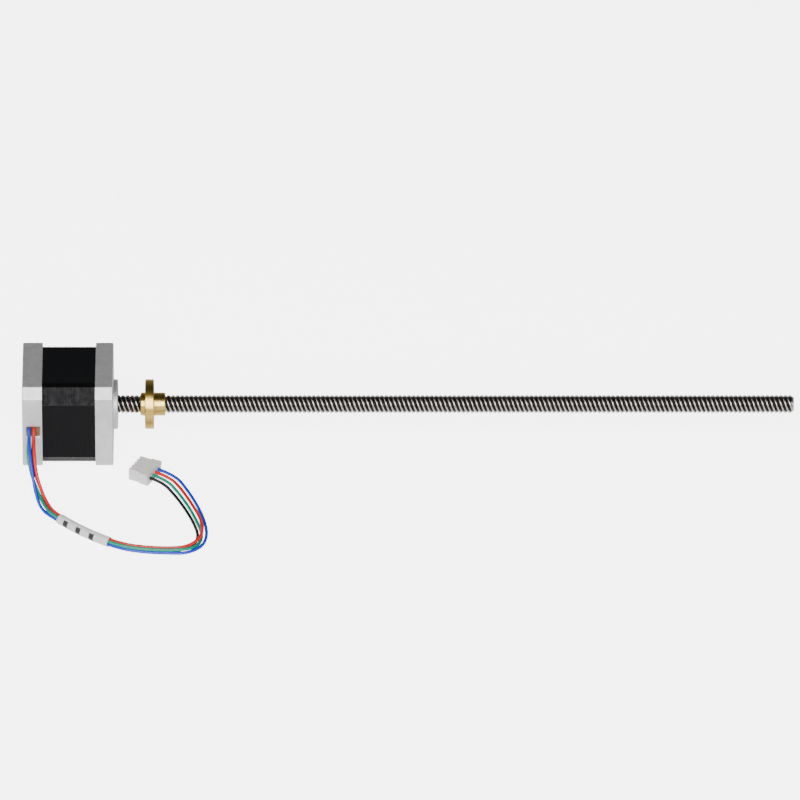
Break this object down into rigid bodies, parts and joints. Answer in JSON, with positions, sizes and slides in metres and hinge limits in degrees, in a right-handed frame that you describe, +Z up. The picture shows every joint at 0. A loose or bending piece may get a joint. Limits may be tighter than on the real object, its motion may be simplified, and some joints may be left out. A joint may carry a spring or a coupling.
{
  "type": "stepper motor with lead screw",
  "caption": "Square stepper motor whose shaft is a long four-start lead screw with a flanged brass nut, and a four-wire lead with a plug.",
  "frame": {"origin": "where the screw axis crosses the motor's front mounting face", "axes": "+X along the screw towards its tip, +Z up, away from the side face the motor lies on"},
  "size_m": [0.34, 0.1068, 0.0424],
  "materials": {
    "cast_aluminium": "cast, fine grain, satin",
    "black_laminations": "black paint over stacked laminations",
    "nylon_insulator": "moulded",
    "enamelled_copper": "enamelled copper wire",
    "circuit_board": "solder mask",
    "tan_insulation": "varnished paper and sleeving",
    "zinc_steel": "zinc plated",
    "bearing_steel": "ground",
    "rotor_steel": "stamped laminations",
    "rotor_magnet": "sintered magnet",
    "screw_steel": "rolled thread, oiled",
    "nut_brass": "turned, satin",
    "wire_blue": "insulation, slight gloss",
    "wire_red": "insulation, slight gloss",
    "wire_green": "insulation, slight gloss",
    "wire_black": "insulation, slight gloss",
    "white_sleeve": "soft white tubing",
    "white_nylon": "moulded",
    "tinned_terminal": "tin plated"
  },
  "bodies": {
    "motor": {"front_end_cap": "cast_aluminium", "rear_end_cap": "cast_aluminium", "stator_stack": "black_laminations", "front_insulator": "nylon_insulator", "rear_insulator": "nylon_insulator", "coil_windings": "enamelled_copper", "terminal_board": "circuit_board", "wire_bush": "tan_insulation", "tie_screws": "zinc_steel", "front_bearing_outer_race": "bearing_steel", "rear_bearing_outer_race": "bearing_steel", "preload_washer": "zinc_steel", "wire_blue": "wire_blue", "wire_red": "wire_red", "wire_green": "wire_green", "wire_black": "wire_black", "marker_sleeve": "white_sleeve", "connector_housing": "white_nylon", "crimp_terminals": "tinned_terminal"},
    "rotor": {"lead_screw": "screw_steel", "rotor_front_cup": "rotor_steel", "rotor_magnet": "rotor_magnet", "rotor_rear_cup": "rotor_steel", "rotor_front_spacer": "zinc_steel", "rotor_rear_spacer": "zinc_steel", "front_bearing_inner_race": "bearing_steel", "rear_bearing_inner_race": "bearing_steel"},
    "front_ball_set": {"front_bearing_balls": "bearing_steel", "front_bearing_cage": "nylon_insulator"},
    "rear_ball_set": {"rear_bearing_balls": "bearing_steel", "rear_bearing_cage": "nylon_insulator"},
    "nut": {"lead_nut": "nut_brass"}
  },
  "joints": [
    {"name": "rotor_spin", "type": "hinge", "parent": "motor", "child": "rotor", "pos_m": [0, 0, 0], "axis": [1, 0, 0], "range_deg": [-12420, 420]},
    {"name": "front_balls_spin", "type": "hinge", "parent": "motor", "child": "front_ball_set", "pos_m": [-0.0043, 0, 0], "axis": [1, 0, 0], "range_deg": [-4560, 160]},
    {"name": "rear_balls_spin", "type": "hinge", "parent": "motor", "child": "rear_ball_set", "pos_m": [-0.0357, 0, 0], "axis": [1, 0, 0], "range_deg": [-4560, 160]},
    {"name": "nut_travel", "type": "slide", "parent": "motor", "child": "nut", "axis": [1, 0, 0], "range_m": [-0.00934, 0.2761]}
  ],
  "couplings": [
    {"joint": "front_balls_spin", "follows": "rotor_spin", "ratio": 0.36667},
    {"joint": "rear_balls_spin", "follows": "rotor_spin", "ratio": 0.36667},
    {"joint": "nut_travel", "follows": "rotor_spin", "m_per_rad": -0.0012732}
  ]
}
